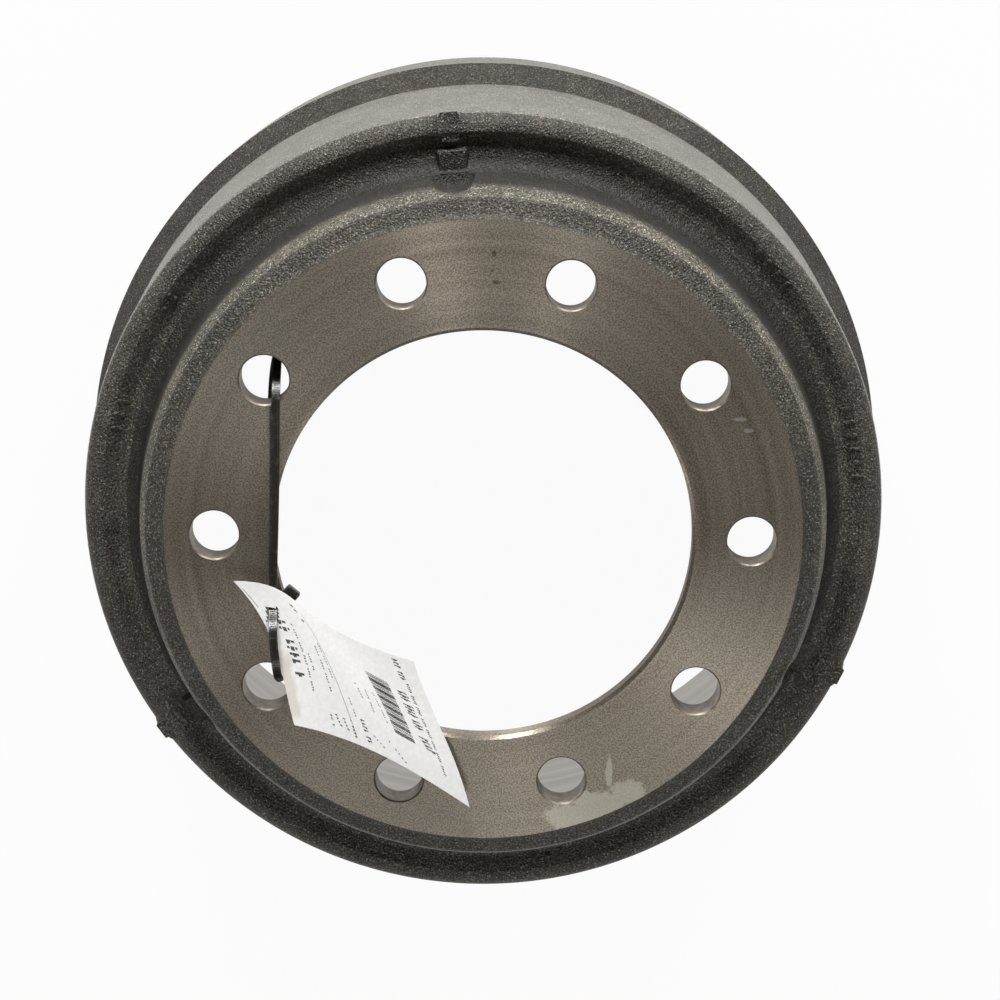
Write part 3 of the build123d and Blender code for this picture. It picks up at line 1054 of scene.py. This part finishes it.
# Print on the card, in shares of its width and its length. A rule: start, end and thickness. A row or the
# barcode: start, end, height and number of strokes.
RULES = ((0.367, 0.108, 0.400, 0.958, 0.0035), (0.010, 0.050, 0.018, 0.175, 0.003))
WORD_ROWS = (
    (0.108, 0.25, 0.108, 0.66, 0.066, 9),
    (0.175, 0.258, 0.175, 0.733, 0.014, 26),
    (0.215, 0.433, 0.218, 0.575, 0.014, 8),
    (0.308, 0.342, 0.308, 0.692, 0.014, 18),
    (0.358, 0.317, 0.358, 0.592, 0.012, 15),
    (0.575, 0.475, 0.575, 0.6, 0.012, 6),
    (0.442, 0.667, 0.442, 0.808, 0.01, 7),
    (0.642, 0.483, 0.608, 0.7, 0.012, 10),
    (0.7, 0.458, 0.683, 0.708, 0.01, 14),
    (0.483, 0.775, 0.483, 0.958, 0.03, 8),
    (0.942, 0.025, 0.942, 0.167, 0.02, 7),
    (0.908, 0.275, 0.892, 0.592, 0.042, 12),
    (0.883, 0.65, 0.9, 0.783, 0.042, 5),
    (0.95, 0.183, 0.917, 0.908, 0.012, 40),
    (0.258, 0.858, 0.258, 0.942, 0.014, 4),
    (0.292, 0.842, 0.317, 0.95, 0.014, 5),
    (0.342, 0.85, 0.358, 0.958, 0.014, 5),
    (0.392, 0.842, 0.392, 0.967, 0.012, 6),
    (0.525, 0.88, 0.592, 0.96, 0.01, 5),
    (0.625, 0.858, 0.692, 0.975, 0.01, 6),
    (0.29, 0.085, 0.33, 0.2, 0.03, 4),
)
BARCODE = (0.806, 0.250, 0.762, 0.760, 0.108, 36)
BAR_WIDTHS = (0.45, 0.85, 0.4, 1.0, 0.6)  # in turn, as shares of the widest
WIDEST_BAR = 0.8  # share of the pitch
STEM_WIDTH = 0.38  # of a row's upright strokes, as a share of the pitch
SIDE_WIDTH = 0.66
SIDE_HEIGHT = 0.36
INK_LIFT = 0.03 * MM
STROKE_STEP = 0.03  # longest piece of a stroke, as a share of the card's length


def stroke(form, net, u, v, du, dv, shear=0.0):
    """One inked patch, its long way along dv, laid over the card's upper face."""
    lift = Vector((0, 0, CARD_THICK + INK_LIFT))
    steps = max(1, round(dv / STROKE_STEP))
    rows = []
    for step in range(steps + 1):
        along = v + dv * step / steps
        middle = u + shear * step / steps
        sides = [on_card(net, middle + side * du / 2, along) for side in (-1, 1)]
        rows.append([form.verts.new(point + lift) for point in sides])
    for (a, b), (c, d) in zip(rows, rows[1:]):
        face = form.faces.new((a, b, d, c))
        face.normal_update()
        if face.normal.z < 0:
            face.normal_flip()


def word_row(form, net, u0, v0, u1, v1, height, count):
    """A row of plain strokes in uneven groups, each an upright with a short side block."""
    pitch = (v1 - v0) / count
    for number in range(count):
        if (number * 7 + count) % 5 == 3:
            continue  # a gap between two groups
        level = u0 + (u1 - u0) * (number + 0.5) / count
        start = v0 + pitch * number
        tall = height * (0.80 + 0.20 * ((number * 5 + count) % 3) / 2)
        side = level + tall * 0.3 * ((number * number + count) % 3 - 1)
        stroke(form, net, level, start, tall, pitch * STEM_WIDTH)
        stroke(form, net, side, start, tall * SIDE_HEIGHT, pitch * SIDE_WIDTH)


def barcode(form, net, u0, v0, u1, v1, height, count):
    pitch = (v1 - v0) / count
    for number in range(count):
        level = u0 + (u1 - u0) * number / count
        width = BAR_WIDTHS[(number * number + 3 * number) % len(BAR_WIDTHS)]
        stroke(form, net, level, v0 + pitch * number, height, pitch * width * WIDEST_BAR)


def print_on_tag(net, ink):
    """Plain strokes and bars in rows: no letters, no numbers."""

    def build(form):
        for u0, v0, u1, v1, thick in RULES:
            stroke(form, net, u0, v0, thick, v1 - v0, u1 - u0)
        for row in WORD_ROWS:
            word_row(form, net, *row)
        barcode(form, net, *BARCODE)

    strokes = new_object("tag_print", mesh_from("tag_print", build), ink)
    return strokes


# ---- floor, light, camera
FLOOR_REACH = 12.0
FLOOR_GLOW = 0.95  # share of plain white in what the camera and the gloss see
LENS = 91.514
CAMERA_PLACE = (0.00003, 0.343871, 1.305551)  # from the centre of the mounting face
CAMERA_TURN = (-0.242566, -0.004938, 0.012634)  # axis times angle
LAMP_DISTANCE = 2.4
# Name, direction from the mounting face, size and power
LAMPS = (
    ("front_box", (0.12, -0.52, 0.85), (2.3, 0.8), 16.5),
    ("back_left", (-0.20, 0.90, 0.26), (0.30, 0.9), 52),
    ("back_right", (0.32, 0.90, 0.26), (0.30, 0.9), 34),
    ("left_box", (-0.72, -0.50, 0.50), (0.6, 0.6), 9),
    ("right_box", (0.57, -0.60, 0.56), (0.5, 0.5), 6.5),
)


def floor_mesh(form):
    bmesh.ops.create_grid(form, x_segments=1, y_segments=1, size=FLOOR_REACH)


def backdrop():
    """A wide floor with a soft shadow, plain white to the camera and in gloss."""
    material = bpy.data.materials.new("floor_white")
    tree = blank_tree(material)
    paint = node(tree, "ShaderNodeBsdfDiffuse", {"Color": (0.7, 0.7, 0.7, 1)})
    glow = node(tree, "ShaderNodeEmission", {"Color": (1, 1, 1, 1), "Strength": 1.0})
    ray = node(tree, "ShaderNodeLightPath").outputs
    bounced = maths(tree, "MAXIMUM", ray["Is Glossy Ray"], ray["Is Transmission Ray"])
    direct = maths(tree, "MAXIMUM", ray["Is Camera Ray"], bounced)
    share = maths(tree, "MULTIPLY", direct, FLOOR_GLOW)
    mix = node(tree, "ShaderNodeMixShader", {0: share, 1: paint.outputs[0], 2: glow.outputs[0]})
    node(tree, "ShaderNodeOutputMaterial", {"Surface": mix.outputs[0]})
    floor = new_object("floor", mesh_from("floor", floor_mesh), material)


def sky():
    """A studio dome, brightest behind the drum, dim overhead and white to the camera."""
    world = bpy.data.worlds.new("studio")
    bpy.context.scene.world = world
    tree = blank_tree(world)
    way = parts_of(tree, node(tree, "ShaderNodeTexCoord").outputs["Generated"])
    beside = fade(tree, way[1], -0.9, 0.3, 0.06, 0.30)
    behind = maths(tree, "ADD", beside, fade(tree, way[1], 0.5, 1.0, 0.0, 0.75))
    overhead = fade(tree, way[2], 0.20, 0.90, 1.0, 0.22)
    level = maths(tree, "MULTIPLY", behind, overhead)
    dome = node(tree, "ShaderNodeBackground", {"Color": (1, 1, 1, 1), "Strength": level})
    white = node(tree, "ShaderNodeBackground", {"Color": (1, 1, 1, 1), "Strength": 1.0})
    seen = node(tree, "ShaderNodeLightPath").outputs["Is Camera Ray"]
    mix = node(tree, "ShaderNodeMixShader", {0: seen, 1: dome.outputs[0], 2: white.outputs[0]})
    node(tree, "ShaderNodeOutputWorld", {"Surface": mix.outputs[0]})


def soft_box(name, way, size, power):
    """A rectangular area lamp that faces the mounting face from a direction."""
    lamp = bpy.data.lights.new(name, "AREA")
    lamp.shape = "RECTANGLE"
    lamp.size, lamp.size_y = size
    lamp.energy = power
    made = new_object(name, lamp)
    direction = Vector(way).normalized()
    made.location = Vector((0, 0, HEIGHT)) + direction * LAMP_DISTANCE
    made.rotation_mode = "QUATERNION"
    made.rotation_quaternion = direction.to_track_quat("Z", "Y")


def camera():
    """The camera over the mounting face, tilted about 14 degrees off the axis."""
    view = bpy.data.cameras.new("camera")
    view.lens = LENS
    view.sensor_width = 36
    made = new_object("camera", view)
    made.location = Vector((0, 0, HEIGHT)) + Vector(CAMERA_PLACE)
    turn = Vector(CAMERA_TURN)
    made.rotation_mode = "AXIS_ANGLE"
    made.rotation_axis_angle = (turn.length, *turn.normalized())
    bpy.context.scene.camera = made


camera()
backdrop()
sky()
for lamp in LAMPS:
    soft_box(*lamp)
bpy.context.scene.view_settings.view_transform = "Standard"

cast = cast_iron("cast_iron", tone=1.1, ior=1.5)
net = tag_net()
pieces = [drum_casting(cast), foundry_marks(cast)]
pieces += cable_tie(tie_nylon())
pieces += [hang_tag(net, tag_card()), print_on_tag(net, tag_ink())]
for piece in pieces:
    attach(piece, "root")
